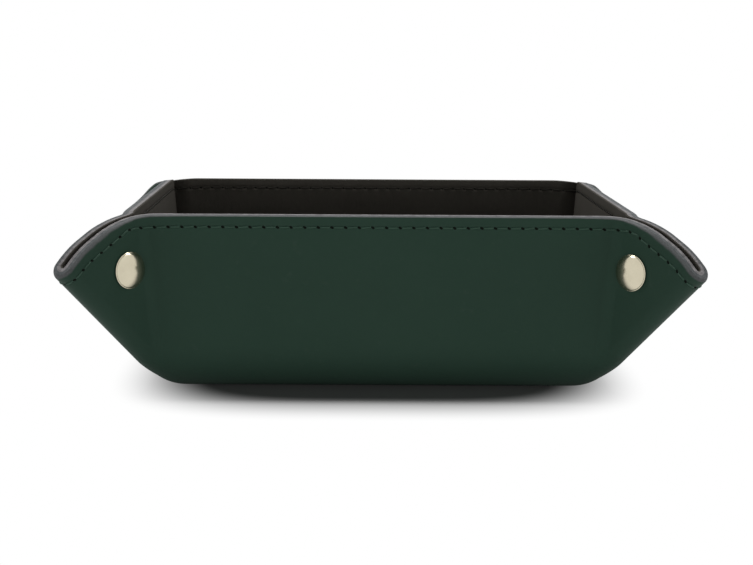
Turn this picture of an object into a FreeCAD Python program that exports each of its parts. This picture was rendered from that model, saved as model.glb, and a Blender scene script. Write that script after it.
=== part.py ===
import FreeCAD, Part
import Sketcher
import math
import os

V = FreeCAD.Vector
UP = V(0, 0, 1)
FAR = 400.0

# Driving sizes, in millimetres and degrees
driving_sizes = {
    # formed sheet: lengths run between the sharp lines where the outer faces of base and walls meet
    "base_length": 164.0,
    "base_depth": 164.0,
    "wall_height": 61.0,
    "wall_angle": 84.0,
    "leather_thickness": 2.2,
    "lining_thickness": 1.8,
    "base_bend_radius": 18.0,
    "corner_bend_radius": 7.0,
    # pinched corner: two layers with a slit between them, folded at the tip
    "fold_gap": 2.0,
    "corner_trim": 29.7,
    "edge_fold_angle": 73.0,
    "shoulder_radius": 26.0,
    "fold_run_in": 4.0,
    "root_clearance": 0.4,
    "corner_clearance": 0.15,
    "open_seam_clearance": 0.9,
    # snap fastener
    "snap_drop": 18.3,
    "snap_clearance": 0.6,
    "seat_clearance": 0.3,
    "hole_clearance": 0.1,
    "seat_depth": 0.9,
    "cap_diameter": 12.5,
    "cap_height": 2.4,
    "cap_rim": 0.7,
    "post_diameter": 3.8,
    "roll_diameter": 4.8,
    "roll_thickness": 0.3,
    "socket_diameter": 9.8,
    "socket_height": 2.6,
    "socket_plate": 0.6,
    "socket_chamfer": 0.5,
    "socket_bore": 5.2,
    "spring_groove": 0.45,
    "spring_height": 0.5,
    "spring_level": 1.3,
    "spring_clearance": 0.25,
    "stud_flange_diameter": 9.2,
    "stud_head_diameter": 4.2,
    "stud_neck_diameter": 3.5,
    "stud_neck_height": 0.8,
    "stud_head_height": 1.0,
    "stud_head_chamfer": 0.3,
    "stud_bore_depth": 2.0,
    "eyelet_diameter": 9.6,
    "eyelet_height": 0.8,
    "eyelet_rim": 0.35,
    "eyelet_bevel": 0.5,
    "eyelet_dimple": 3.0,
    "eyelet_post_diameter": 2.4,
    "eyelet_tip_gap": 0.1,
}

doc = FreeCAD.newDocument("valet_tray")
sheet = doc.addObject("Spreadsheet::Sheet", "sizes")
for row, (alias, number) in enumerate(driving_sizes.items(), 1):
    sheet.set("A%d" % row, alias)
    sheet.set("B%d" % row, str(number))
    sheet.setAlias("B%d" % row, alias)
doc.recompute()


def size(alias):
    return float(sheet.get(alias))


length = size("base_length")
depth = size("base_depth")
lean = math.radians(size("wall_angle"))
leather = size("leather_thickness")
total = leather + size("lining_thickness")
bend = size("base_bend_radius")
corner_bend = size("corner_bend_radius")
half_gap = size("fold_gap") / 2
fold_radius = half_gap + total
slant = size("wall_height") / math.sin(lean)
layers = {"leather": (0.0, leather), "lining": (leather, total)}

# One corner, seen from inside its own frame: the base corner is at the origin, the end wall runs
# along +X, the side wall along +Y, and the pinched flap points away along the diagonal.
up_wall = V(0, -math.cos(lean), math.sin(lean))
out_wall = V(0, -math.sin(lean), -math.cos(lean))
diagonal = V(-1, -1, 0).normalize()
out_flap = V(1, -1, 0).normalize()
mitre = out_wall.cross(out_flap).normalize()
turn = math.acos(out_wall.dot(out_flap))
bisector = (out_wall + out_flap).normalize()
knee = V(math.sqrt(2) * fold_radius, 0, 0)
bend_axis = knee + bisector * (corner_bend / math.cos(turn / 2))
mitre_rise = math.atan2(mitre.z, mitre.dot(diagonal))
fold_rise = mitre_rise - (math.pi / 4 - math.atan(math.cos(lean)))
crease = diagonal * math.cos(fold_rise) + UP * math.sin(fold_rise)
off_crease = diagonal * math.sin(fold_rise) - UP * math.cos(fold_rise)
bend_setback = bend * math.tan(lean / 2)

# Hinge lines of the flattening sheet: each bend opens about its own convex face
wall_hinge = V(0, bend_setback - bend * math.sin(lean / 2), bend * (1 - math.cos(lean / 2)))
flap_hinge = bend_axis - bisector * (corner_bend + total)


def flattened(point):
    swing = FreeCAD.Rotation(mitre, -math.degrees(turn))
    drop = FreeCAD.Rotation(V(1, 0, 0), math.degrees(lean))
    swung = flap_hinge + swing.multVec(point - flap_hinge)
    return wall_hinge + drop.multVec(swung - wall_hinge)


# The fold lies on the sheet's diagonal once the sheet is flat, which sets its place in the flap
flat_origin = flattened(V(0, 0, 0))
flat_step = flattened(off_crease) - flat_origin
fold_offset = -out_flap.dot(flat_origin) / out_flap.dot(flat_step)
fold_axis = off_crease * fold_offset
fold_core = off_crease * (fold_offset - fold_radius)


def flap_point(along, rise, out=0.0):
    return diagonal * along + UP * rise + out_flap * out


def in_flap(point):
    return point.dot(diagonal), point.z


def meet(point_a, way_a, point_b, way_b):
    # crossing of two lines that lie in the flap's plane
    ax, az = in_flap(way_a)
    bx, bz = in_flap(way_b)
    dx, dz = in_flap(point_b - point_a)
    share = (dx * bz - dz * bx) / (ax * bz - az * bx)
    return flap_point(*in_flap(point_a + way_a * share))


across_mitre = diagonal * math.sin(mitre_rise) - UP * math.cos(mitre_rise)
knee_line = flap_point(*in_flap(knee))
bend_start = knee_line + across_mitre * (corner_bend * math.tan(turn / 2))
flap_root = meet(bend_start, mitre, fold_core, crease)
root_level = max(flap_root.dot(mitre), up_wall.dot(mitre) * bend_setback)

# Top edge of the flap: wall edge, round shoulder, straight run down to the fold
fold_reach = math.sqrt(2) * slant - size("corner_trim")
fold_tip = fold_axis + crease * fold_reach
edge_angle = fold_rise + math.pi - math.radians(size("edge_fold_angle"))
edge_way = diagonal * -math.cos(edge_angle) - UP * math.sin(edge_angle)
top_way = (diagonal * math.sin(lean) - UP * (math.cos(lean) / math.sqrt(2))).normalize()
top_drop = (half_gap + total / 2) * math.cos(lean) / math.sqrt(2)
top_start = UP * ((slant - top_drop) / math.sin(lean))
edge_corner = meet(top_start, top_way, fold_tip, edge_way)

# Snap: just clear of the corner bend, below the top edge
snap_rise = size("wall_height") - size("snap_drop")
knee_along = in_flap(knee_line + mitre * (snap_rise / mitre.z))[0]
snap_along = knee_along + size("cap_diameter") / 2 + size("snap_clearance")
snap_point = flap_point(snap_along, snap_rise)


def half_space(point, outward):
    # everything on the outward side of a plane
    block = Part.makeBox(2 * FAR, 2 * FAR, FAR, V(-FAR, -FAR, 0))
    block.Placement = FreeCAD.Placement(point, FreeCAD.Rotation(UP, outward))
    return block


def beyond(shape, point, outward):
    return shape.common(half_space(point, outward))


def before(shape, point, outward):
    return shape.cut(half_space(point, outward))


def solid_from(edges, way):
    return Part.Face(Part.Wire(edges)).extrude(way)


def polygon(points, way):
    return Part.Face(Part.makePolygon(points + points[:1])).extrude(way)


def ring_piece(centre, first, last, inner, outer, way):
    # bent strip: ring section from direction first to direction last, carried along way
    middle = (first + last).normalize()
    edges = [
        Part.Arc(centre + first * outer, centre + middle * outer, centre + last * outer).toShape(),
        Part.makeLine(centre + last * outer, centre + last * inner),
        Part.Arc(centre + last * inner, centre + middle * inner, centre + first * inner).toShape(),
        Part.makeLine(centre + first * inner, centre + first * outer),
    ]
    return solid_from(edges, way)


def mirrored(shape):
    return shape.mirror(V(), V(1, 0, 0))


def bend_point(angle, inset):
    # point of the bend between base and wall, angle from straight down, inset from the outer face
    radius = bend - inset
    return V(0, bend_setback - radius * math.sin(angle), bend - radius * math.cos(angle))


def bend_arc(start, stop, inset):
    points = [bend_point(start + (stop - start) * share, inset) for share in (0, 0.5, 1)]
    return Part.Arc(*points).toShape()


def wall_strip(outer, inner, start, width):
    # section of the wall with its half of the base bend, carried along the wall
    top_outer = up_wall * slant - out_wall * outer
    top_inner = up_wall * slant - out_wall * inner
    edges = [
        bend_arc(lean / 2, lean, outer),
        Part.makeLine(bend_point(lean, outer), top_outer),
        Part.makeLine(top_outer, top_inner),
        Part.makeLine(top_inner, bend_point(lean, inner)),
        bend_arc(lean, lean / 2, inner),
        Part.makeLine(bend_point(lean / 2, inner), bend_point(lean / 2, outer)),
    ]
    strip = solid_from(edges, V(width, 0, 0))
    strip.translate(V(start, 0, 0))
    return strip


def tray_inside(start, width):
    # the space inside the outer faces of base and wall
    back = V(0, 2 * bend_setback + total, 0)
    edges = [
        bend_arc(0, lean, 0),
        Part.makeLine(bend_point(lean, 0), up_wall * slant),
        Part.makeLine(up_wall * slant, back + UP * up_wall.z * slant),
        Part.makeLine(back + UP * up_wall.z * slant, back),
        Part.makeLine(back, bend_point(0, 0)),
    ]
    inside = solid_from(edges, V(width, 0, 0))
    inside.translate(V(start, 0, 0))
    return inside


def outline_block():
    # keeps what lies below the flap's top edge
    sweep = math.acos(top_way.dot(edge_way))
    radius = size("shoulder_radius")
    tangent = radius * math.tan(sweep / 2)
    start = edge_corner - top_way * tangent
    stop = edge_corner + edge_way * tangent
    inward = (edge_way - top_way).normalize()
    middle = edge_corner + inward * (radius / math.cos(sweep / 2) - radius)
    left = edge_corner - top_way * FAR / 4
    right = edge_corner + edge_way * FAR / 4
    floor = UP * -FAR / 2
    edges = [
        Part.makeLine(left, start),
        Part.Arc(start, middle, stop).toShape(),
        Part.makeLine(stop, right),
        Part.makeLine(right, right + floor),
        Part.makeLine(right + floor, left + floor),
        Part.makeLine(left + floor, left),
    ]
    reach = fold_radius + 2 * (corner_bend + total)
    block = solid_from(edges, out_flap * (2 * reach))
    block.translate(out_flap * -reach)
    return block


below_edge = outline_block()
root_point = mitre * root_level
bisector_normal = mitre.cross(bisector)
if bisector_normal.dot(diagonal) < 0:
    bisector_normal = bisector_normal * -1
along_wall = out_wall.cross(mitre).normalize()
if along_wall.x > 0:
    along_wall = along_wall * -1
wall_bend_start = knee - along_wall * (corner_bend * math.tan(turn / 2))
# Bevel that lets the foot of the flap swing past the wall as the corner opens
relief_normal = FreeCAD.Rotation(mitre, math.degrees(turn)).multVec(bisector_normal)


def wall_end_bend(outer, inner):
    piece = ring_piece(bend_axis, -out_wall, -bisector, corner_bend + outer, corner_bend + inner,
                       mitre * FAR / 3)
    return beyond(piece.common(below_edge), root_point, mitre)


def wall_layer(width, outer, inner):
    # panel in its own frame: middle of the bottom line at the origin, outside towards -Y
    panel = wall_strip(outer, inner, -width / 2, width)
    shift = V(-width / 2, 0, 0)
    low = half_space(knee, bisector_normal).cut(half_space(root_point, mitre))
    high = half_space(wall_bend_start, along_wall).common(half_space(root_point, mitre))
    past = half_space(out_flap * size("corner_clearance"), -out_flap)
    for flipped in (False, True):
        pieces = []
        for piece in (wall_end_bend(outer, inner), low, high, past):
            piece = piece.copy()
            piece.Placement = FreeCAD.Placement(shift, FreeCAD.Rotation()).multiply(piece.Placement)
            pieces.append(mirrored(piece) if flipped else piece)
        panel = panel.cut(pieces[1:]).fuse(pieces[0])
    return panel.removeSplitter()


def flap_layer(outer, inner, slack):
    # one layer of the pinched corner, hanging on the left end of its wall, slack away from it
    seam = knee + bisector_normal * slack
    low = fold_radius - inner
    high = fold_radius - outer
    thickness = out_flap * (high - low)
    level = out_flap * low
    corners = [flap_root, flap_root + mitre * FAR / 3, flap_root + crease * FAR / 3]
    plate = polygon([corner + level for corner in corners], thickness)
    lip = ring_piece(fold_core, out_flap, off_crease, low, high, crease * FAR / 3)
    bent = ring_piece(bend_axis, -bisector, -out_flap, corner_bend + outer, corner_bend + inner,
                      mitre * FAR / 3)
    lift = root_point + mitre * size("root_clearance")
    upper = beyond(plate.fuse([lip, bent]).common(below_edge), lift, mitre)
    root = wall_strip(outer, inner, -bend, 3 * bend)
    root = beyond(root, flap_hinge + relief_normal * slack, relief_normal)
    root = beyond(root, V(), out_flap)
    root = before(root, lift, mitre)
    pieces = [root]
    if outer == 0:
        # the fold's outer face runs down onto the outside of the base corner
        leave_angle = math.atan(math.sqrt(2) * math.tan(fold_rise))
        leave = bend_point(leave_angle, 0)
        leave_along = V(leave.y, leave.y, leave.z).dot(crease) + size("fold_run_in")
        tail = before(beyond(lip, crease * leave_along, crease), lift, mitre)
        pieces.append(tail.cut(tray_inside(-2 * bend, 4 * bend)))
    return beyond(upper.fuse(pieces), seam, bisector_normal).removeSplitter()


def drill(shape, diameter, start, stop):
    hole = Part.makeCylinder(diameter / 2, stop - start, snap_point + out_flap * start, out_flap)
    return shape.cut(hole)


def snapped_flap(outer, inner, slack, post, seat, button):
    # hole for the post, pressed seat for the metal inside, pressed seat for the button outside
    clearance = size("hole_clearance")
    shape = flap_layer(outer, inner, slack)
    shape = drill(shape, post + 2 * clearance, 0, fold_radius)
    shape = drill(shape, seat + 2 * clearance, 0, half_gap + size("seat_depth"))
    return drill(shape, button + 2 * size("seat_clearance"), fold_radius, 2 * fold_radius)


sub_parts = []


def panel_feature(label, shape, place):
    feature = doc.addObject("Part::Feature", label)
    feature.Label = label
    feature.Shape = shape
    feature.Placement = place
    sub_parts.append(feature)


def dish_span(reach, inset, width):
    # space above the floor and between the two half bends, carried across the tray
    def spot(side, angle, deep):
        point = bend_point(angle, deep)
        return V(0, side * (reach / 2 - point.y), point.z)

    rim = lean / 2
    edges = [
        Part.Arc(spot(-1, rim, inset), spot(-1, rim / 2, inset), spot(-1, 0, inset)).toShape(),
        Part.makeLine(spot(-1, 0, inset), spot(1, 0, inset)),
        Part.Arc(spot(1, 0, inset), spot(1, rim / 2, inset), spot(1, rim, inset)).toShape(),
        Part.makeLine(spot(1, rim, inset), spot(1, rim, bend)),
        Part.makeLine(spot(1, rim, bend), spot(-1, rim, bend)),
        Part.makeLine(spot(-1, rim, bend), spot(-1, rim, inset)),
    ]
    span = solid_from(edges, V(width, 0, 0))
    span.translate(V(-width / 2, 0, 0))
    return span


def dish(inset):
    lengthwise = dish_span(depth, inset, length)
    crosswise = dish_span(length, inset, depth)
    crosswise.rotate(V(), UP, 90)
    return lengthwise.common(crosswise)


def base_layer(outer, inner):
    # shallow dish: flat floor with half of each bend, mitred where the bends meet
    return dish(outer).cut(dish(inner)).removeSplitter()


# Turn of each wall about Z, in degrees
wall_angle = {"front": 0, "right": 90, "back": 180, "left": 270}


def turned(wall_name, x, y):
    return FreeCAD.Placement(V(x, y, 0), FreeCAD.Rotation(UP, wall_angle[wall_name]))


# Walls: label, length, middle of the bottom line
walls = {
    "front": (length, 0, -depth / 2),
    "right": (depth, length / 2, 0),
    "back": (length, 0, depth / 2),
    "left": (depth, -length / 2, 0),
}
for layer, (outer, inner) in layers.items():
    panel_feature("base_" + layer, base_layer(outer, inner), FreeCAD.Placement())
    for label, (width, x, y) in walls.items():
        panel_feature("%s_wall_%s" % (label, layer), wall_layer(width, outer, inner), turned(label, x, y))

# Corners: place, end wall, side wall, whether the end wall's flap is the mirrored one
corners = {
    "front_left": (-length / 2, -depth / 2, "front", "left", False),
    "front_right": (length / 2, -depth / 2, "front", "right", True),
    "back_left": (-length / 2, depth / 2, "back", "left", True),
    "back_right": (length / 2, depth / 2, "back", "right", False),
}
for layer, (outer, inner) in layers.items():
    end_flap = snapped_flap(outer, inner, 0, size("post_diameter"), size("socket_diameter"),
                            size("cap_diameter"))
    side_flap = snapped_flap(outer, inner, size("open_seam_clearance"), size("eyelet_post_diameter"),
                             size("stud_flange_diameter"), size("eyelet_diameter"))
    for label, (x, y, end_wall, side_wall, flipped) in corners.items():
        end_shape = mirrored(end_flap) if flipped else end_flap.copy()
        side_shape = side_flap.copy() if flipped else mirrored(side_flap)
        panel_feature("%s_end_flap_%s" % (label, layer), end_shape, turned(end_wall, x, y))
        panel_feature("%s_side_flap_%s" % (label, layer), side_shape, turned(side_wall, x, y))


def measure(*terms):
    # a length as a sum of shares of sheet sizes: its expression and its value now
    expression = " + ".join("%g * sizes.%s" % (share, alias) for share, alias in terms)
    return expression, sum(share * size(alias) for share, alias in terms)


def turned_body(label, profile, place, domed=None):
    # turned metal piece: points (radius, height), None on an axis; domed is the edge drawn as a crown
    body = doc.addObject("PartDesign::Body", label)
    body.Label = label
    sketch = body.newObject("Sketcher::SketchObject", label + "_profile")
    plane = [item for item in body.Origin.OriginFeatures if item.Role == "XZ_Plane"][0]
    sketch.AttachmentSupport = (plane, [""])
    sketch.MapMode = "FlatFace"
    spots = [V(r[1] if r else 0, h[1] if h else 0, 0) for r, h in profile]
    count = len(spots)
    for index, spot in enumerate(spots):
        after = spots[(index + 1) % count]
        if index == domed:
            crown = after.y - spot.y
            radius = (spot.x ** 2 + crown ** 2) / (2 * crown)
            circle = Part.Circle(V(0, after.y - radius, 0), UP, radius)
            start = math.atan2(spot.y - after.y + radius, spot.x)
            sketch.addGeometry(Part.ArcOfCircle(circle, start, math.pi / 2))
        else:
            sketch.addGeometry(Part.LineSegment(spot, after))
    for index in range(count):
        sketch.addConstraint(Sketcher.Constraint("Coincident", index, 2, (index + 1) % count, 1))
    if domed is not None:
        sketch.addConstraint(Sketcher.Constraint("PointOnObject", domed, 3, -2))
    for index, (radius, height) in enumerate(profile):
        for kind, value, axis in (("DistanceX", radius, -2), ("DistanceY", height, -1)):
            if value is None:
                sketch.addConstraint(Sketcher.Constraint("PointOnObject", index, 1, axis))
            else:
                datum = sketch.addConstraint(Sketcher.Constraint(kind, -1, 1, index, 1, value[1]))
                sketch.setExpression("Constraints[%d]" % datum, value[0])
    revolution = body.newObject("PartDesign::Revolution", label + "_turned")
    revolution.Profile = sketch
    revolution.ReferenceAxis = (sketch, ["V_Axis"])
    revolution.Angle = 360
    body.Tip = revolution
    body.Placement = place
    sub_parts.append(body)


# Stack heights along the snap's axis
grip = [(1, "socket_plate"), (1, "leather_thickness"), (1, "lining_thickness"), (-1, "seat_depth")]
cap_under = [(1, "roll_thickness")] + grip
eyelet_grip = [(1, "stud_bore_depth"), (-1, "eyelet_tip_gap"), (1, "leather_thickness"),
               (1, "lining_thickness"), (-1, "seat_depth")]
head_level = [(1, "seat_depth"), (1, "stud_neck_height")]
stud_top = head_level + [(1, "stud_head_height")]
spring_top = [(1, "spring_level"), (1, "spring_height")]

cap_radius = measure((0.5, "cap_diameter"))
post_radius = measure((0.5, "post_diameter"))
post_hole = measure((0.5, "post_diameter"), (1, "hole_clearance"))
roll_radius = measure((0.5, "roll_diameter"))
socket_radius = measure((0.5, "socket_diameter"))
socket_lip = measure((0.5, "socket_diameter"), (-1, "socket_chamfer"))
socket_shoulder = measure((1, "socket_height"), (-1, "socket_chamfer"))
bore_radius = measure((0.5, "socket_bore"))
groove_radius = measure((0.5, "socket_bore"), (1, "spring_groove"))
spring_radius = measure((0.5, "stud_head_diameter"), (1, "spring_clearance"))
flange_radius = measure((0.5, "stud_flange_diameter"))
neck_radius = measure((0.5, "stud_neck_diameter"))
head_radius = measure((0.5, "stud_head_diameter"))
head_tip = measure((0.5, "stud_head_diameter"), (-1, "stud_head_chamfer"))
stud_hole = measure((0.5, "eyelet_post_diameter"), (1, "hole_clearance"))
eyelet_radius = measure((0.5, "eyelet_diameter"))
eyelet_crown = measure((0.5, "eyelet_diameter"), (-1, "eyelet_bevel"))
dimple_radius = measure((0.5, "eyelet_dimple"))
eyelet_post = measure((0.5, "eyelet_post_diameter"))

cap_profile = [
    (None, None),
    (roll_radius, None),
    (roll_radius, measure((1, "roll_thickness"))),
    (post_radius, measure((1, "roll_thickness"))),
    (post_radius, measure(*cap_under)),
    (cap_radius, measure(*cap_under)),
    (cap_radius, measure((1, "cap_rim"), *cap_under)),
    (None, measure((1, "cap_height"), *cap_under)),
]
socket_profile = [
    (post_hole, None),
    (socket_radius, None),
    (socket_radius, socket_shoulder),
    (socket_lip, measure((1, "socket_height"))),
    (bore_radius, measure((1, "socket_height"))),
    (bore_radius, measure(*spring_top)),
    (groove_radius, measure(*spring_top)),
    (groove_radius, measure((1, "spring_level"))),
    (bore_radius, measure((1, "spring_level"))),
    (bore_radius, measure((1, "socket_plate"))),
    (post_hole, measure((1, "socket_plate"))),
]
spring_profile = [
    (spring_radius, None),
    (groove_radius, None),
    (groove_radius, measure((1, "spring_height"))),
    (spring_radius, measure((1, "spring_height"))),
]
stud_profile = [
    (stud_hole, None),
    (flange_radius, None),
    (flange_radius, measure((1, "seat_depth"))),
    (neck_radius, measure((1, "seat_depth"))),
    (neck_radius, measure(*head_level)),
    (head_radius, measure((1, "stud_head_chamfer"), *head_level)),
    (head_radius, measure((-1, "stud_head_chamfer"), *stud_top)),
    (head_tip, measure(*stud_top)),
    (None, measure(*stud_top)),
    (None, measure((1, "stud_bore_depth"))),
    (stud_hole, measure((1, "stud_bore_depth"))),
]
eyelet_profile = [
    (None, None),
    (eyelet_post, None),
    (eyelet_post, measure(*eyelet_grip)),
    (eyelet_radius, measure(*eyelet_grip)),
    (eyelet_radius, measure((1, "eyelet_rim"), *eyelet_grip)),
    (eyelet_crown, measure((1, "eyelet_height"), *eyelet_grip)),
    (dimple_radius, measure((1, "eyelet_height"), *eyelet_grip)),
    (dimple_radius, measure((1, "eyelet_rim"), *eyelet_grip)),
    (None, measure((1, "eyelet_rim"), *eyelet_grip)),
]
seat_level = half_gap + size("seat_depth")
cap_level = seat_level - size("socket_plate") - size("roll_thickness")
eyelet_level = seat_level - size("stud_bore_depth") + size("eyelet_tip_gap")


def snap_place(label, on_side, level, outward):
    # place on the snap axis of the corner's end flap or side flap
    x, y, end_wall, side_wall, flipped = corners[label]
    spot = snap_point + out_flap * level
    way = out_flap * outward
    if flipped != on_side:
        spot = V(-spot.x, spot.y, spot.z)
        way = V(-way.x, way.y, way.z)
    local = FreeCAD.Placement(spot, FreeCAD.Rotation(UP, way))
    return turned(side_wall if on_side else end_wall, x, y).multiply(local)


for label in corners:
    turned_body(label + "_cap", cap_profile, snap_place(label, False, cap_level, 1), domed=6)
    turned_body(label + "_socket", socket_profile, snap_place(label, False, seat_level, -1))
    spring_level = seat_level - size("spring_level")
    turned_body(label + "_spring", spring_profile, snap_place(label, False, spring_level, -1))
    turned_body(label + "_stud", stud_profile, snap_place(label, True, seat_level, -1))
    turned_body(label + "_eyelet", eyelet_profile, snap_place(label, True, eyelet_level, 1))

doc.recompute()

for item in doc.Objects:
    if "Invalid" in item.State or "Error" in item.State:
        raise RuntimeError("failed object: " + item.Name)
for part in sub_parts:
    if part.Shape.isNull() or not part.Shape.isValid() or len(part.Shape.Solids) != 1:
        raise RuntimeError("bad shape: %s, %d solids" % (part.Label, len(part.Shape.Solids)))
os.makedirs("parts", exist_ok=True)
for part in sub_parts:
    part.Shape.exportStep("parts/%s.step" % part.Label)
whole = Part.Compound([part.Shape for part in sub_parts]).BoundBox
print("valet tray: %d parts, %.1f x %.1f x %.1f mm" % (len(sub_parts), whole.XLength, whole.YLength, whole.ZLength))
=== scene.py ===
import bpy
import math
import numpy as np
from mathutils import Matrix


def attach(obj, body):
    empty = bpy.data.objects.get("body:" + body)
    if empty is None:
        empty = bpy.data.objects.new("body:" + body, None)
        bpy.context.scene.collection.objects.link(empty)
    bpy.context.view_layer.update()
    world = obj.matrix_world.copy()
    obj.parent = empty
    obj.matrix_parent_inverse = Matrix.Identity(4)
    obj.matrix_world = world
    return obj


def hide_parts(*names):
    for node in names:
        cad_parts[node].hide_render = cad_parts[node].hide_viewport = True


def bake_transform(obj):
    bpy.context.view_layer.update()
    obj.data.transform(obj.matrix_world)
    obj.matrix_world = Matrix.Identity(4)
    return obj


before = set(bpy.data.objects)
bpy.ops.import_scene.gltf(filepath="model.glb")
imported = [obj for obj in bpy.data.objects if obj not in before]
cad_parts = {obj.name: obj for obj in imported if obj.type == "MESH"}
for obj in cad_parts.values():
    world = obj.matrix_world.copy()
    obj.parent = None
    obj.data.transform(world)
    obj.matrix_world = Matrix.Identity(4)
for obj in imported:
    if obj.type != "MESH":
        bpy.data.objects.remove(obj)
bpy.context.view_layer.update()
milli = 0.001
rootTwo = math.sqrt(2)

# What the tray is folded from: millimetres and degrees, outer faces
traySheet = {
    "side": 164.0,
    "wallHeight": 61.0,
    "wallAngle": 84.0,
    "leather": 2.2,
    "lining": 1.8,
    "baseBend": 18.0,
    "blendAngle": 21.0,  # turn of the base bend at which a wall starts to follow its hinge
    "rootAngle": 63.0,  # turn at which it follows it fully, and the flaps begin
    "halfGap": 1.0,
    "cornerBend": 2.1,
    "cornerPower": 4.6,
    "footFillet": 0.05,
    "filletRise": (1.0, 12.0),  # heights between which the corner's fillet grows
    "foldOffset": -7.3,
    "foldRunOut": 10.3,
    "tip": (38.0, 44.8),
    "edgeCorner": (10.2, 60.9),
    "edgeRound": 5.5,
    "edgeSwell": {"front": -0.2, "back": -2.4},
    "tipLimit": 44.5,
    "tipRound": 21.4,
    "edgeBevel": 0.35,
    "flapBevel": 1.7,
    "flapEase": 0.75,
    "flapBlend": (-8.0, 16.0),  # along the diagonal, from all wall to all flap
    "splitEnd": 4.6,
    "splitSide": 0.3,
}
half = traySheet["side"] / 2
lean = math.radians(traySheet["wallAngle"])
bend = traySheet["baseBend"]
total = traySheet["leather"] + traySheet["lining"]
foldRadius = traySheet["halfGap"] + total
setback = bend * math.tan(lean / 2)
bendRun = bend * lean
slant = traySheet["wallHeight"] / math.sin(lean)
rimRun = bendRun + slant - setback
rootAngle = math.radians(traySheet["rootAngle"])
rootRun = bend * rootAngle
mitreSlope = math.cos(lean)
mitreAngle = math.atan2(1, math.cos(lean) / math.sin(lean) * rootTwo)
foldRise = mitreAngle - (math.pi / 4 - math.atan(mitreSlope))
kneeOut = rootTwo * foldRadius

# The skin is found by halving, along rays from the middle of the base bend
search = {"leastOut": 1e-9, "leastSine": 1e-6, "step": 0.02, "near": 6.0, "far": 90.0, "length": 70.0,
          "turns": 44, "rimAbove": 6.0, "rimTurns": 30}


def smoothStep(low, high, value):
    share = np.clip((value - low) / (high - low), 0, 1)
    return share * share * (3 - 2 * share)


def roundMax(first, second, radius):
    # the larger of two distances, with the corner between them rounded
    inner = np.minimum(-radius, np.maximum(first, second))
    return inner + np.hypot(np.maximum(radius + first, 0), np.maximum(radius + second, 0))


def roundMin(first, second, radius):
    # the smaller of two distances, with a fillet between them
    outer = np.maximum(radius, np.minimum(first, second))
    return outer - np.hypot(np.maximum(radius - first, 0), np.maximum(radius - second, 0))


def softMax(first, second, sharpness):
    # the larger of two values: first + log(1 + e^(sharpness (second - first))) / sharpness
    return first + np.logaddexp(0, (second - first) * sharpness) / sharpness


def unit(way):
    return way / np.linalg.norm(way, axis=-1, keepdims=True)


def roundAngles(count):
    return np.linspace(0, 2 * math.pi, count, endpoint=False)


def foldDepth(along, rise):
    # distance in the flap's middle plane below the crease, which runs out onto the floor
    below = along * math.sin(foldRise) - rise * math.cos(foldRise) - traySheet["foldOffset"]
    return roundMax(below, -rise, traySheet["foldRunOut"])


def skinDistance(x, y, z):
    # outer skin near one corner: dished tray joined by a fillet to the pinched flap on the diagonal
    power = traySheet["cornerPower"]
    outX = np.maximum(setback - x, search["leastOut"])
    outY = np.maximum(setback - y, search["leastOut"])
    out = (outX ** power + outY ** power) ** (1 / power)
    arc = np.hypot(out, bend - z) - bend
    plane = (out - setback) * math.sin(lean) - z * math.cos(lean)
    tray = np.where(np.arctan2(out, bend - z) <= lean, arc, plane)
    along = -(x + y) / rootTwo
    across = (x - y) / rootTwo
    flap = np.hypot(across, np.maximum(foldDepth(along, z) + foldRadius, 0)) - foldRadius
    fillet = traySheet["footFillet"] + traySheet["cornerBend"] * smoothStep(*traySheet["filletRise"], z)
    return roundMin(tray, flap, fillet)


def skinNormal(points):
    # unit gradient of the skin distance by central differences
    parts = []
    for axis in range(3):
        shift = np.zeros(3)
        shift[axis] = search["step"]
        ahead = skinDistance(*np.moveaxis(points + shift, -1, 0))
        behind = skinDistance(*np.moveaxis(points - shift, -1, 0))
        parts.append(ahead - behind)
    return unit(np.stack(parts, -1))


def section(run):
    # middle of the bend, then a line parallel to the wall; and the way out from it
    angle = np.minimum(run / bend, lean)
    climb = np.maximum(run - bendRun, 0)
    middleY = setback - climb * math.cos(lean)
    middleZ = bend + climb * math.sin(lean)
    return middleY, middleZ, np.sin(angle), np.cos(angle)


def bisect(gap, low, high, turns=search["turns"]):
    # root of a gap that goes from negative to positive
    low = np.array(low, float)
    high = np.array(high, float)
    for _ in range(turns):
        middle = (low + high) / 2
        inside = gap(middle) < 0
        low = np.where(inside, middle, low)
        high = np.where(inside, high, middle)
    return (low + high) / 2


def creaseAt(run):
    # x, and y, of the skin on the diagonal, where the row at this run crosses it
    middleY, middleZ, outward, down = section(run)

    def gap(reach):
        y = middleY - reach * outward
        return skinDistance(y, y, middleZ - reach * down)

    reach = bisect(gap, np.full(run.shape, search["near"]), np.full(run.shape, search["far"]))
    return middleY - reach * outward


def skinPoint(x, run):
    # skin where the ray at this run leaves it, in the plane at this x
    middleY, middleZ, outward, down = section(run)
    start = np.maximum((middleY - x) / np.maximum(outward, search["leastSine"]), search["near"])

    def gap(reach):
        return skinDistance(x, middleY - reach * outward, middleZ - reach * down)

    reach = bisect(gap, start, start + search["length"])
    return np.stack([x, middleY - reach * outward, middleZ - reach * down], -1)


def outAlong(points):
    # distance out along the corner's diagonal
    return -(points[..., 0] + points[..., 1]) / rootTwo


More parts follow.
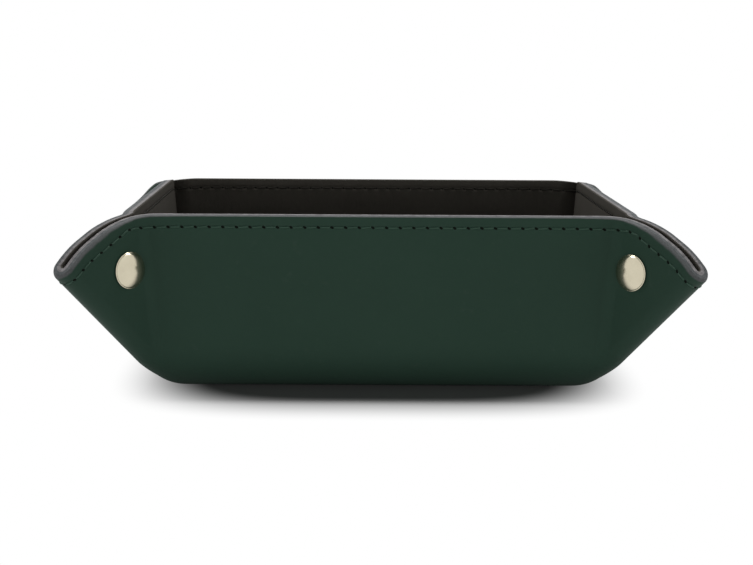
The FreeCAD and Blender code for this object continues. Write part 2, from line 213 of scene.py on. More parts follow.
def edgeDistance(points, swell=0.0):
    # distance below the cut edge: level on the wall, down the swelling slope of the flap, blunt at the tip
    cornerAlong, cornerRise = traySheet["edgeCorner"]
    tipAlong, tipRise = traySheet["tip"]
    slope = math.atan2(cornerRise - tipRise, tipAlong - cornerAlong)
    along = outAlong(points) - cornerAlong
    rise = points[..., 2] - cornerRise
    share = np.clip(along / (tipAlong - cornerAlong), 0, 1)
    sloped = along * math.sin(slope) + rise * math.cos(slope) - swell * 4 * share * (1 - share)
    level = (points[..., 2] - traySheet["wallHeight"]) / math.sin(lean)
    blunt = along + cornerAlong - traySheet["tipLimit"]
    return -roundMax(roundMax(level, sloped, traySheet["edgeRound"]), blunt, traySheet["tipRound"])


def flapShare(points):
    # 0 on the wall and 1 on the flap
    return smoothStep(*traySheet["flapBlend"], outAlong(points))


# Borders of the panels: how close they come to the diagonal and to one another
panelBorder = {"footGap": 2.0, "footShift": 0.35, "footSoft": 1.2, "foldSearch": 24.0, "foldGap": 0.6,
               "foldMargin": 1.2, "foldSoft": 1.5, "overRun": 3.0, "samples": 1500}
panelKinds = ("splitEnd", "splitSide")


def splitAt(run, shift):
    # where the wall's panel ends: beside the corner bend, and beside the diagonal at the foot
    mitre = kneeOut - (setback + run - bendRun) * mitreSlope + shift
    foot = creaseAt(run) + panelBorder["footGap"] + panelBorder["footShift"] * shift
    return softMax(mitre, foot, panelBorder["footSoft"])


def foldAt(run, shift):
    # where the flat of the flap ends and the fold's round begins
    middleY, middleZ, outward, down = section(run)
    farX = creaseAt(run) + panelBorder["foldSearch"]

    def gap(step):
        x = farX - step
        y = x - kneeOut
        rise = middleZ - (middleY - y) * down / np.maximum(outward, search["leastSine"])
        return foldDepth(-(x + y) / rootTwo, rise) + foldRadius + panelBorder["foldGap"]

    flat = farX - bisect(gap, np.zeros(run.shape), np.full(run.shape, panelBorder["foldSearch"]))
    widest = splitAt(run, shift) - panelBorder["foldMargin"]
    return -softMax(-widest, -flat, panelBorder["foldSoft"])


# The borders by run, worked out once
runLimit = rimRun + panelBorder["overRun"]
borderRuns = np.linspace(0, runLimit, panelBorder["samples"])
borderCrease = creaseAt(borderRuns)
borderSplit = {kind: splitAt(borderRuns, traySheet[kind]) for kind in panelKinds}
borderFold = {kind: foldAt(borderRuns, traySheet[kind]) for kind in panelKinds}


def flapPoints(share, run, kind):
    # skin of a flap: share 0 to 1 crosses its flat, 1 to 2 goes round the fold to the diagonal
    wall = np.interp(run, borderRuns, borderSplit[kind])
    edge = np.interp(run, borderRuns, borderFold[kind])
    crease = np.interp(run, borderRuns, borderCrease)
    flat = wall + (edge - wall) * np.clip(share, 0, 1)
    return skinPoint(flat + (crease - edge) * np.clip(share - 1, 0, 1), run)


def wallPoints(spread, run, kind):
    # skin of a wall, whose columns spread from -1 to 1 between its splits, and the side each point is on
    wallX = spread * (half - np.interp(run, borderRuns, borderSplit[kind]))
    points = skinPoint(half - np.abs(wallX), run)
    return points, np.where(wallX > 0, -1.0, 1.0)


def findRim(pointsAt, shape, swell, inset, drop):
    # run at which each column is inset below the cut edge, with a further drop on the flap
    def gap(run):
        points = pointsAt(run)
        return inset + drop * flapShare(points) - edgeDistance(points, swell)

    low = np.full(shape, rootRun + search["rimAbove"])
    return bisect(gap, low, np.full(shape, runLimit), search["rimTurns"])


def flapRim(share, kind, swell, inset, drop=0.0):
    return findRim(lambda run: flapPoints(share, run, kind), share.shape, swell, inset, drop)


def wallRim(spread, kind, inset, drop=0.0):
    return findRim(lambda run: wallPoints(spread, run, kind)[0], spread.shape, 0.0, inset, drop)


# Rows and columns of the grids; rows crowd together by the seam and the cut edge
grid = {"lowRows": 22, "highRows": 56, "rimZone": 8.0, "wallColumns": 97, "wallCrowding": 1.25,
        "flatColumns": 56, "roundColumns": 22, "baseTicks": 60, "sharpAngle": 48.0}
rimSteps = np.array([7.2, 6.4, 5.8, 5.3, 4.9, 4.5, 4.2, 3.9, 3.6, 3.3, 2.9, 2.4, 1.9, 1.4, 0.9, 0.6,
                     traySheet["edgeBevel"], 0.15, 0.0])
lowRuns = np.linspace(0, rootRun, grid["lowRows"])
midRuns = np.linspace(rootRun, rimRun - grid["rimZone"], grid["highRows"])
highRuns = np.concatenate([midRuns, rimRun - rimSteps])
print("sheet: setback %.2f, rim run %.2f, crease rise %.2f" % (setback, rimRun, math.degrees(foldRise)))

# Where the sheet is pressed in: the seam's line below the cut edge, and a ring round each snap
seamLine = {"inset": 3.85, "drop": 0.9, "groove": 0.22, "grooveWidth": 0.55}
snap = {"along": 8.2, "rise": 42.7, "radius": 6.25, "crown": 2.25, "rim": 0.42, "eyeletRadius": 4.8,
        "press": 0.32, "pressWidth": 1.1}


def seamGroove(depth):
    # groove e^-((depth - inset) / width)^2
    return seamLine["groove"] * np.exp(-((depth - seamLine["inset"]) / seamLine["grooveWidth"]) ** 2)


def snapPress(points, radius):
    # press e^-((distance from the snap's axis - radius) / width)^2
    away = np.hypot(outAlong(points) - snap["along"], points[..., 2] - snap["rise"])
    return snap["press"] * np.exp(-((away - radius) / snap["pressWidth"]) ** 2)


def edgeTint(depth, onFlap):
    # 1 at the cut edge and 0 below its bevel, which is taller on the flaps
    bevel = traySheet["edgeBevel"] + (traySheet["flapBevel"] - traySheet["edgeBevel"]) * onFlap
    return np.clip(1 - depth / bevel, 0, 1)


def grown(points, normals, swell=0.0):
    # outer, middle and inner faces of the sheet, pulled in at the seam and eased at the edge; then the tint
    depth = edgeDistance(points, swell)
    onFlap = flapShare(points)
    groove = seamGroove(depth - seamLine["drop"] * onFlap)
    ease = traySheet["edgeBevel"] * edgeTint(depth, 0.0)
    tint = edgeTint(depth, onFlap)
    outerEase = ease + (traySheet["flapEase"] - ease) * onFlap * tint ** 2
    insets = (groove + outerEase, np.full(depth.shape, traySheet["leather"]), total - groove - ease)
    return [points - normals * inset[..., None] for inset in insets] + [tint]


def cornerPatch(shares, runs, kind, swell=0.0):
    # rows by columns of the half corner; above the root the rows follow the cut edge
    share, run = np.meshgrid(shares, runs)
    aboveRoot = runs[-1] > rootRun
    if aboveRoot:
        scale = (flapRim(shares, kind, swell, 0.0) - rootRun) / (rimRun - rootRun)
        run = rootRun + (run - rootRun) * scale
    points = flapPoints(share, run, kind)
    normals = skinNormal(points)
    faces = grown(points, normals, swell)
    if aboveRoot:
        radius = snap["radius"] if kind == "splitEnd" else snap["eyeletRadius"]
        faces[0] = faces[0] - normals * snapPress(points, radius)[..., None]
    return faces


def unfold(face, side):
    # a wall's points from the corner's axes into the front wall's place
    return np.stack([(face[..., 0] - half) * side, face[..., 1] - half, face[..., 2]], -1)


def wallPatch(kind):
    # the wall between its two corner splits, in the front wall's place
    runs = np.concatenate([lowRuns, highRuns[1:]])
    spread = np.linspace(-1, 1, grid["wallColumns"])
    spread = np.sign(spread) * (1 - (1 - np.abs(spread)) ** grid["wallCrowding"])
    scale = (wallRim(spread, kind, 0.0) - rootRun) / (rimRun - rootRun)
    rise = runs[:, None] - rootRun
    run = rootRun + rise * np.where(rise > 0, scale, 1.0)
    points, side = wallPoints(spread, run, kind)
    *faces, tint = grown(points, skinNormal(points))
    return [unfold(face, side) for face in faces] + [tint]


def placeWay(way, signs, swapped):
    # direction in the half corner into one of the four corners; swapped is the side wall's half
    if swapped:
        way = way[..., [1, 0, 2]]
    return way * np.array([*signs, 1])


def place(face, signs, swapped):
    # the same for points
    return placeWay(face - np.array([half, half, 0]), signs, swapped)


def quarterTurn(face, turns):
    angle = math.radians(90 * turns)
    ahead, aside = math.cos(angle), math.sin(angle)
    return face @ np.array([[ahead, aside, 0], [-aside, ahead, 0], [0, 0, 1]])


def gridQuads(rows, columns, first):
    # the quads of a grid whose points are numbered from first
    index = first + np.arange(rows * columns).reshape(rows, columns)
    return np.stack([index[:-1, :-1], index[:-1, 1:], index[1:, 1:], index[1:, :-1]], -1).reshape(-1, 4)


def makeObject(name, points, faces, finishes, faceFinish=None, wrap=None):
    # faces is one array or several; wrap is each point's place in the piece's UV map
    mesh = bpy.data.meshes.new(name)
    groups = faces if isinstance(faces, list) else [faces]
    mesh.from_pydata((points * milli).tolist(), [], sum((group.tolist() for group in groups), []))
    if wrap is not None:
        corner = np.zeros(len(mesh.loops), np.int32)
        mesh.loops.foreach_get("vertex_index", corner)
        mesh.uv_layers.new(name="wrap").data.foreach_set("uv", wrap[corner].astype(np.float32).ravel())
    mesh.polygons.foreach_set("use_smooth", np.ones(len(mesh.polygons), bool))
    if faceFinish is not None:
        mesh.polygons.foreach_set("material_index", faceFinish.astype(np.int32))
    for finish in finishes:
        mesh.materials.append(finish)
    mesh.update()
    mesh.validate()
    obj = bpy.data.objects.new(name, mesh)
    bpy.context.scene.collection.objects.link(obj)
    return obj


def makeShell(name, patches, finishes):
    # patches are (outer grid, inner grid, tint grid, rim flag on the last row); edges used once get a wall
    outerPoints, innerPoints, quads, rims, tints = [], [], [], [], []
    count = 0
    for outer, inner, tint, rimmed in patches:
        rows, columns = outer.shape[:2]
        quads.append(gridQuads(rows, columns, count))
        flag = np.zeros((rows, columns), bool)
        flag[-1] = rimmed
        rims.append(flag.ravel())
        outerPoints.append(outer.reshape(-1, 3))
        innerPoints.append(inner.reshape(-1, 3))
        tints.append(np.broadcast_to(tint, (rows, columns)).ravel())
        count += rows * columns
    outerPoints = np.concatenate(outerPoints)
    # points that two patches share become one
    _, kept, renamed = np.unique(np.round(outerPoints, 3), axis=0, return_index=True, return_inverse=True)
    outerPoints = outerPoints[kept]
    innerPoints = np.concatenate(innerPoints)[kept]
    rims = np.concatenate(rims)[kept]
    tints = np.concatenate(tints)[kept]
    quads = renamed.ravel()[np.concatenate(quads)]
    size = len(kept)
    # outward winding from the side that the inner face lies on
    spans = outerPoints[quads]
    facing = np.cross(spans[:, 2] - spans[:, 0], spans[:, 3] - spans[:, 1])
    inward = (innerPoints[quads] - spans).mean(1)
    if np.einsum("ij,ij->i", facing, inward).sum() > 0:
        quads = quads[:, ::-1]
    edges = np.concatenate([quads[:, [0, 1]], quads[:, [1, 2]], quads[:, [2, 3]], quads[:, [3, 0]]])
    _, which, times = np.unique(np.sort(edges, 1), axis=0, return_inverse=True, return_counts=True)
    border = edges[times[which.ravel()] == 1]
    walls = np.stack([border[:, 1], border[:, 0], border[:, 0] + size, border[:, 1] + size], -1)
    onRim = rims[border[:, 0]] & rims[border[:, 1]]
    faces = np.concatenate([quads, quads[:, ::-1] + size, walls])
    finish = np.concatenate([np.zeros(2 * len(quads)), onRim.astype(float)])
    wrap = np.zeros((2 * size, 2))
    wrap[:size, 0] = tints
    obj = makeObject(name, np.concatenate([outerPoints, innerPoints]), faces, finishes, finish, wrap)
    obj.data.set_sharp_from_angle(angle=math.radians(grid["sharpAngle"]))
    return obj


def maths(operation, turned=False):
    # an operator of a wire and another wire or a plain number
    def work(self, other):
        first, second = (other, self) if turned else (self, other)
        return self.finish.node("ShaderNodeMath", {"operation": operation}, {0: first, 1: second})

    return work


# Shader maths as expressions
class Wire:
    def __init__(self, finish, socket):
        self.finish = finish
        self.socket = socket

    __add__ = maths("ADD")
    __radd__ = maths("ADD", True)
    __sub__ = maths("SUBTRACT")
    __rsub__ = maths("SUBTRACT", True)
    __mul__ = maths("MULTIPLY")
    __rmul__ = maths("MULTIPLY", True)
    __truediv__ = maths("DIVIDE")
    __pow__ = maths("POWER")


class Finish:
    def __init__(self, name, **fixed):
        self.material = bpy.data.materials.new(name)
        self.material.use_nodes = True
        self.tree = self.material.node_tree
        self.tree.nodes.clear()
        self.output = self.tree.nodes.new("ShaderNodeOutputMaterial")
        self.skin = self.tree.nodes.new("ShaderNodeBsdfPrincipled")
        self.tree.links.new(self.skin.outputs[0], self.output.inputs[0])
        self.paint(**fixed)

    def node(self, kind, settings=None, inputs=None, output=0):
        made = self.tree.nodes.new(kind)
        for key, value in (settings or {}).items():
            setattr(made, key, value)
        for key, value in (inputs or {}).items():
            self.feed(made.inputs[key], value)
        return Wire(self, made.outputs[output])

    def feed(self, socket, value):
        if isinstance(value, Wire):
            self.tree.links.new(value.socket, socket)
        else:
            socket.default_value = value

    def paint(self, **inputs):
        for key, value in inputs.items():
            self.feed(self.skin.inputs[key.replace("_", " ")], value)

    def place(self, stretch=(1, 1, 1)):
        spot = self.node("ShaderNodeTexCoord", output="Object")
        return self.node("ShaderNodeMapping", {}, {"Vector": spot, "Scale": stretch})

    def noise(self, scale, detail=3.0, stretch=(1, 1, 1), rough=0.5):
        inputs = {"Vector": self.place(stretch), "Scale": scale, "Detail": detail, "Roughness": rough}
        return self.node("ShaderNodeTexNoise", {}, inputs)

    def cells(self, scale):
        inputs = {"Vector": self.place(), "Scale": scale}
        return self.node("ShaderNodeTexVoronoi", {"feature": "SMOOTH_F1"}, inputs, "Distance")

    def mix(self, share, first, second):
        return self.node("ShaderNodeMix", {"data_type": "RGBA"}, {0: share, 6: first, 7: second}, 2)

    def ramp(self, value, limits, kind="LINEAR"):
        # 0 to 1 as the value goes from one limit to the other
        inputs = {"Value": value, "From Min": limits[0], "From Max": limits[1]}
        return self.node("ShaderNodeMapRange", {"interpolation_type": kind}, inputs)

    def relief(self, height, strength, distance):
        return self.node("ShaderNodeBump", {}, {"Height": height, "Strength": strength, "Distance": distance})


def rgb(red, green, blue):
    return (red, green, blue, 1.0)


# Looks: tones (deep, pale), textures (scale, detail, stretch, roughness), reliefs (strength, metres)
leatherLook = {
    "tones": (rgb(0.0124, 0.0330, 0.0215), rgb(0.0182, 0.0430, 0.0290)),
    "bareTones": (rgb(0.050, 0.054, 0.056), rgb(0.120, 0.124, 0.125)),
    "bareFrom": (0.05, 0.6),
    "rough": 0.58,
    "gloss": 0.19,
    "dye": (38.0, 4.0),
    "pores": 1500.0,
    "fine": (2600.0, 2.0),
    "wear": (260.0, 3.0),
    "grain": (0.22, 0.00012),
}


def greenLeather(look):
    # corrected grain: fine cells with soft pores, and broad uneven dye that wears off at the bevelled edge
    finish = Finish("green_leather", Specular_IOR_Level=look["gloss"])
    dye = finish.noise(*look["dye"])
    pores = finish.cells(look["pores"])
    fine = finish.noise(*look["fine"])
    wear = finish.noise(*look["wear"])
    edge = finish.node("ShaderNodeSeparateXYZ", {}, {0: finish.node("ShaderNodeUVMap", {"uv_map": "wrap"})})
    bare = finish.ramp(edge + 0.5 * (wear - 0.5), look["bareFrom"], "SMOOTHSTEP")
    dyed = finish.mix(0.65 * dye + 0.35 * wear, *look["tones"])
    finish.paint(Base_Color=finish.mix(bare, dyed, finish.mix(fine, *look["bareTones"])))
    finish.paint(Roughness=look["rough"] + 0.10 * (wear - 0.5) + 0.05 * (pores - 0.5))
    finish.paint(Normal=finish.relief(0.7 * pores + 0.5 * fine, *look["grain"]))
    return finish.material


liningLook = {
    "tones": (rgb(0.0415, 0.0385, 0.0325), rgb(0.0760, 0.0705, 0.0610)),
    "rough": 0.9,
    "gloss": 0.05,
    "nap": (900.0, 5.0, (1, 1, 0.45), 0.65),
    "brushed": (45.0, 3.0),
    "napRelief": (0.35, 0.00025),
}


def darkLining(look):
    # split suede: short brushed nap
    finish = Finish("dark_lining", Specular_IOR_Level=look["gloss"])
    nap = finish.noise(*look["nap"])
    brushed = finish.noise(*look["brushed"])
    finish.paint(Base_Color=finish.mix(0.55 * brushed + 0.45 * nap, *look["tones"]))
    finish.paint(Roughness=look["rough"] + 0.12 * (nap - 0.5))
    finish.paint(Normal=finish.relief(nap, *look["napRelief"]))
    return finish.material


edgeLook = {
    "leather": (rgb(0.040, 0.045, 0.048), rgb(0.118, 0.124, 0.126)),
    "lining": (rgb(0.085, 0.080, 0.083), rgb(0.260, 0.250, 0.252)),
    "rough": 0.8,
    "gloss": 0.2,
    "fibre": (1900.0, 4.0, (1, 1, 1), 0.7),
    "streak": (420.0, 3.0, (1, 1, 2.5)),
    "toneFrom": (0.34, 0.66),
    "fibreRelief": (0.5, 0.00025),
}


def rawEdge(name, look, tones):
    # cut edge of the hide: grey fibres in streaks
    finish = Finish(name, Specular_IOR_Level=look["gloss"])
    fibre = finish.noise(*look["fibre"])
    streak = finish.noise(*look["streak"])
    tone = finish.ramp(0.45 * fibre + 0.55 * streak, look["toneFrom"])
    finish.paint(Base_Color=finish.mix(tone, *tones))
    finish.paint(Roughness=look["rough"] + 0.15 * (fibre - 0.5))
    finish.paint(Normal=finish.relief(fibre, *look["fibreRelief"]))
    return finish.material


# The thread's tones and gloss on each face
threadLook = {
    "outer": (rgb(0.022, 0.052, 0.035), rgb(0.046, 0.088, 0.064), 0.25),
    "inner": (rgb(0.014, 0.013, 0.011), rgb(0.026, 0.025, 0.021), 0.02),
    "rough": 0.62,
    "fibre": (5200.0, 3.0),
    "fibreRelief": (0.4, 0.00008),
}


def seamThread(name, look, deep, pale, gloss):
    # waxed thread with fine fibres
    finish = Finish(name, Specular_IOR_Level=gloss)
    fibre = finish.noise(*look["fibre"])
    finish.paint(Base_Color=finish.mix(fibre, deep, pale))
    finish.paint(Roughness=look["rough"] + 0.2 * (fibre - 0.5))
    finish.paint(Normal=finish.relief(fibre, *look["fibreRelief"]))
    return finish.material


# Painted shade of the needle holes: near-black tones that stand for the shade in their mouths
holeShadeLook = {
    "tones": (rgb(0.001, 0.002, 0.001), rgb(0.004, 0.006, 0.004)),
    "rough": 0.9,
    "gloss": 0.1,
    "fibre": (3000.0, 2.0),
}


def paintedHoleShade(look):
    # painted shade: a near-black finish that stands for the shade inside the mouth of a needle hole
    finish = Finish("needle_hole_shade", Specular_IOR_Level=look["gloss"])
    fibre = finish.noise(*look["fibre"])
    finish.paint(Base_Color=finish.mix(fibre, *look["tones"]))
    finish.paint(Roughness=look["rough"] - 0.1 * fibre)
    return finish.material


nickelLook = {
    "tones": (rgb(0.535, 0.487, 0.365), rgb(0.670, 0.617, 0.475)),
    "rough": 0.12,
    "haze": (220.0, 4.0),
    "wipe": (2400.0, 2.0, (1, 0.12, 1)),
    "wipeRelief": (0.06, 0.00003),
}


def nickelPlate(look):
    # warm nickel: bright, with faint wipe marks and handling haze
    finish = Finish("nickel_plate", Metallic=1.0)
    haze = finish.noise(*look["haze"])
    wipe = finish.noise(*look["wipe"])
    finish.paint(Base_Color=finish.mix(haze, *look["tones"]))
    finish.paint(Roughness=look["rough"] + 0.10 * haze + 0.05 * wipe)
    finish.paint(Normal=finish.relief(wipe, *look["wipeRelief"]))
    return finish.material


wireLook = {
    "tones": (rgb(0.42, 0.40, 0.37), rgb(0.58, 0.56, 0.52)),
    "rough": 0.24,
    "drawn": (1800.0, 3.0, (1, 1, 0.2)),
}


def springWire(look):
    # drawn steel wire with streaks
    finish = Finish("spring_wire", Metallic=1.0)
    drawn = finish.noise(*look["drawn"])
    finish.paint(Base_Color=finish.mix(drawn, *look["tones"]))
    finish.paint(Roughness=look["rough"] + 0.14 * drawn)
    return finish.material


green = greenLeather(leatherLook)
dark = darkLining(liningLook)
leatherEdge = rawEdge("leather_edge", edgeLook, edgeLook["leather"])
liningEdge = rawEdge("lining_edge", edgeLook, edgeLook["lining"])
threadFinish = seamThread("seam_thread", threadLook, *threadLook["outer"])
innerThread = seamThread("inner_thread", threadLook, *threadLook["inner"])
holeShadeFinish = paintedHoleShade(holeShadeLook)
nickel = nickelPlate(nickelLook)
wire = springWire(wireLook)
print("finishes made")

# Each layer's outer and inner face among a patch's three, its finishes and its slot
layers = {
    "leather": (0, 1, [green, leatherEdge], "green_leather"),
    "lining": (1, 2, [dark, liningEdge], "dark_lining"),
}

# Base: flat between the starts of the four bends
baseHalf = half - setback
ticks = np.linspace(-baseHalf, baseHalf, grid["baseTicks"])
baseX, baseY = np.meshgrid(ticks, ticks)
baseFaces = [np.stack([baseX, baseY, np.full(baseX.shape, level)], -1)
             for level in (0, traySheet["leather"], total)]
for layer, (outer, inner, finishes, slotName) in layers.items():
    base = makeShell("base_" + layer + "_panel", [(baseFaces[outer], baseFaces[inner], 0.0, False)], finishes)
    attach(base, "base")
    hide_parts("base_" + layer)
print("base made")


def placedPatch(faces, tint, signs, swapped, rimmed):
    return place(faces[0], signs, swapped), place(faces[1], signs, swapped), tint, rimmed


# Hidden tongues: how deep they lie, and where they reach, in shares of the fold and of the root's run
tongues = {"inset": 0.3, "footShare": 1.3, "footReach": (0.15, 0.95), "footRows": 12, "flapReach": 0.62,
           "flapOverlap": 0.5, "flapRows": 9}
footTongueShares = np.linspace(tongues["footShare"], 2, tongues["footRows"])
footTongueRuns = np.linspace(*tongues["footReach"], tongues["footRows"]) * rootRun
flapTongueTop = rootRun + tongues["flapOverlap"]
flapTongueRuns = np.linspace(tongues["flapReach"] * rootRun, flapTongueTop, tongues["flapRows"])


def tongue(shares, runs, kind, layer):
    # a tongue inside a neighbour's sheet, which covers the gap when the tray lies open
    share, run = np.meshgrid(shares, runs)
    points = flapPoints(share, run, kind)
    normals = skinNormal(points)
    outer, inner = (0, traySheet["leather"]) if layer == "leather" else (traySheet["leather"], total)
    return [points - normals * depth for depth in (outer + tongues["inset"], inner - tongues["inset"])]


# Walls with their bends and the halves of the dished corners
wallTurns = {
    "front": (0, "splitEnd"),
    "right": (1, "splitSide"),
    "back": (2, "splitEnd"),
    "left": (3, "splitSide"),
}
flatShares = np.linspace(0, 1, grid["flatColumns"])
roundShares = np.linspace(1, 2, grid["roundColumns"])
footShares = np.concatenate([flatShares, roundShares[1:]])
wallFaces = {kind: wallPatch(kind) for kind in panelKinds}
footFaces = {kind: cornerPatch(footShares, lowRuns, kind) for kind in panelKinds}
for label, (turns, kind) in wallTurns.items():
    otherKind = "splitSide" if kind == "splitEnd" else "splitEnd"
    for layer, (outer, inner, finishes, slotName) in layers.items():
        patches = [(wallFaces[kind][outer], wallFaces[kind][inner], wallFaces[kind][3], True)]
        for sign in (1, -1):
            patches.append(placedPatch(footFaces[kind][outer:inner + 1], 0.0, (sign, 1), False, False))
            if layer == "lining":
                hidden = tongue(footTongueShares, footTongueRuns, otherKind, layer)
                patches.append(placedPatch(hidden, 0.0, (sign, 1), True, False))
        patches = [(quarterTurn(first, turns), quarterTurn(second, turns), tint, rimmed)
                   for first, second, tint, rimmed in patches]
        wall = makeShell("%s_wall_%s_panel" % (label, layer), patches, finishes)
        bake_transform(wall)
        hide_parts("%s_wall_%s" % (label, layer))
print("walls made")

# Corner flaps: an end flap, its fold and a side flap; signs of x and y, and the wall of the end flap
corners = {
    "front_left": (1, 1, "front"),
    "front_right": (-1, 1, "front"),
    "back_left": (1, -1, "back"),
    "back_right": (-1, -1, "back"),
}
flapFaces, foldFaces = {}, {}
for kind in panelKinds:
    for end, swell in traySheet["edgeSwell"].items():
        flapFaces[kind, end] = cornerPatch(flatShares, highRuns, kind, swell)
        foldFaces[kind, end] = cornerPatch(roundShares, highRuns, kind, swell)

# The ways out of a wall and out of its end flap, the mitre line between them, and the ways along the wall and
# across the flap
outWall = np.array([0, -math.sin(lean), -math.cos(lean)])
outFlap = np.array([1, -1, 0]) / rootTwo
mitreWay = unit(np.cross(outWall, outFlap))
alongWall = np.cross(outWall, mitreWay)
alongWall = alongWall * -np.sign(alongWall[0])
acrossFlap = np.cross(outFlap, mitreWay)
acrossFlap = acrossFlap * -np.sign(acrossFlap[0])


def rideLike(piece, panel):
    # an end flap and a fold are baked in place as they are made; any other panel moves as one piece with its
    # body
    for label, (*signs, wallName) in corners.items():
        if panel == label + "_end_flap":
            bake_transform(piece)
            return
        if panel == label + "_fold":
            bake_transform(piece)
            return
    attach(piece, panel)


for label, (*signs, wallName) in corners.items():
    for layer, (outer, inner, finishes, slotName) in layers.items():
        endPatches, foldPatches, sidePatches = [], [], []
        for kind, swapped, flapPatches in (("splitEnd", False, endPatches), ("splitSide", True, sidePatches)):
            for shares, faces, found in ((flatShares, flapFaces[kind, wallName], flapPatches),
                                         (roundShares, foldFaces[kind, wallName], foldPatches)):
                hidden = tongue(shares, flapTongueRuns, kind, layer)
                found.append(placedPatch(faces[outer:inner + 1], faces[3], signs, swapped, True))
                found.append(placedPatch(hidden, 0.0, signs, swapped, False))
        endFlap = makeShell("%s_end_flap_%s_panel" % (label, layer), endPatches, finishes)
        fold = makeShell("%s_fold_%s_panel" % (label, layer), foldPatches, finishes)
        sideFlap = makeShell("%s_side_flap_%s_panel" % (label, layer), sidePatches, finishes)
        rideLike(endFlap, label + "_end_flap")
        rideLike(fold, label + "_fold")
        rideLike(sideFlap, label + "_side_flap")
        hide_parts("%s_end_flap_%s" % (label, layer))
        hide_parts("%s_end_flap_%s" % (label, layer), "%s_side_flap_%s" % (label, layer))
        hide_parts("%s_side_flap_%s" % (label, layer))
print("corner flaps made")

# Seam: one line of stitches all round below the cut edge, on both faces of the sheet
stitch = {"pitch": 4.6, "length": 3.9, "radius": 0.30, "lift": 0.14, "dive": 0.75, "taper": 0.45,
          "slew": 0.10, "waver": 1.7, "innerWaver": 2.0, "rings": 9, "sides": 6, "wrapScale": 0.5}
hole = {"length": 0.64, "width": 0.44, "slant": 35.0, "innerSize": 0.7, "rim": 0.03, "crown": 0.08,
        "depth": 0.10, "sides": 8}
tripSamples = {"wall": 500, "flat": 160, "round": 60}


def seamFlap(shares, kind, end):
    # points and normals of the seam line on a half corner
    run = flapRim(shares, kind, traySheet["edgeSwell"][end], seamLine["inset"], seamLine["drop"])
    points = flapPoints(shares, run, kind)
    return points, skinNormal(points)


def seamWall(kind):
    # points and normals of the seam line on a wall, in the front wall's place
    spread = np.linspace(-1, 1, tripSamples["wall"])
    run = wallRim(spread, kind, seamLine["inset"], seamLine["drop"])
    points, side = wallPoints(spread, run, kind)
    normals = skinNormal(points)
    normals[:, 0] *= side
    return unfold(points, side), normals


# The round trip of the needle: each wall, then the corner at its right end
tripFlat = np.linspace(0, 1, tripSamples["flat"])
tripRound = np.linspace(1, 2, tripSamples["round"])
roundTrip = [("front", "front_right", "right"), ("right", "back_right", "back"),
             ("back", "back_left", "left"), ("left", "front_left", "front")]
trips = []
for wallName, cornerName, nextWall in roundTrip:
    turns, kind = wallTurns[wallName]
    nextKind = wallTurns[nextWall][1]
    *signs, end = corners[cornerName]
    points, normals = seamWall(kind)
    trips.append((wallName + "_wall", quarterTurn(points, turns), quarterTurn(normals, turns)))
    legs = [(tripFlat, kind, 1), (tripRound, kind, 1), (tripRound, nextKind, -1), (tripFlat, nextKind, -1)]
    for shares, legKind, order in legs:
        swapped = legKind == "splitSide"
        points, normals = seamFlap(shares, legKind, end)
        points = place(points, signs, swapped)[::order]
        normals = placeWay(normals, signs, swapped)[::order]
        panel = "_fold" if shares[-1] > 1 else "_side_flap" if swapped else "_end_flap"
        trips.append((cornerName + panel, points, normals))
tripNames = np.concatenate([[name] * (len(points) - 1) for name, points, _ in trips])
tripPoints = np.concatenate([points[:-1] for _, points, _ in trips] + [trips[0][1][:1]])
tripNormals = np.concatenate([normals[:-1] for _, _, normals in trips] + [trips[0][2][:1]])
tripLength = np.concatenate([[0], np.cumsum(np.linalg.norm(np.diff(tripPoints, axis=0), axis=1))])
tripWay = np.gradient(tripPoints, tripLength, axis=0)
stitchCount = int(round(tripLength[-1] / stitch["pitch"]))
stitchPitch = tripLength[-1] / stitchCount
print("seam: %.0f mm, %d stitches" % (tripLength[-1], stitchCount))


def pick(table, where):
    # a table of the trip, read at these lengths
    return np.stack([np.interp(where, tripLength, table[:, axis]) for axis in range(3)], -1)


def alongTrip(where, inside):
    # point in the groove, way out of the leather or the lining, direction of the seam, way across it
    where = np.mod(where, tripLength[-1])
    normal = unit(pick(tripNormals, where))
    way = pick(tripWay, where)
    way = unit(way - normal * np.sum(way * normal, -1, keepdims=True))
    point = pick(tripPoints, where) - normal * seamLine["groove"]
    if inside:
        point = point - normal * (total - 2 * seamLine["groove"])
        normal = -normal
    return point, normal, way, np.cross(normal, way)


def stitchTubes(centres, inside):
    # tubes whose ends dive into the holes: height = lift - dive share^8, width = radius (1 - taper share^6)
    along, around = stitch["rings"], stitch["sides"]
    share = np.linspace(-1, 1, along)
    where = centres[:, None] + share * stitch["length"] / 2
    phase = centres * stitch["waver"] + (stitch["innerWaver"] if inside else 0.0)
    slew = stitch["slew"] * np.sin(phase)[:, None] + stitch["slew"]
    point, normal, _, across = alongTrip(where, inside)
    height = stitch["lift"] - stitch["dive"] * share ** 8
    width = stitch["radius"] * (1 - stitch["taper"] * share ** 6)
    angle = roundAngles(around)
    middle = point + normal * height[:, None] + across * (slew * share)[..., None]
    ring = normal[:, :, None] * np.cos(angle)[:, None] + across[:, :, None] * np.sin(angle)[:, None]
    tubes = (middle[:, :, None] + ring * width[:, None, None]).reshape(-1, 3)
    turn = angle / (2 * math.pi)
    wrap = np.stack(np.broadcast_arrays(where[:, :, None] * stitch["wrapScale"], turn), -1).reshape(-1, 2)
    index = np.arange(along * around).reshape(along, around)
    after = np.roll(index, -1, axis=1)
    sides = np.stack([index[:-1], after[:-1], after[1:], index[1:]], -1).reshape(-1, 4)
    ends = np.stack([index[0][::-1], index[-1]])
    first = (np.arange(len(centres)) * along * around)[:, None, None]
    return tubes, wrap, (sides + first).reshape(-1, 4), (ends + first).reshape(-1, around)


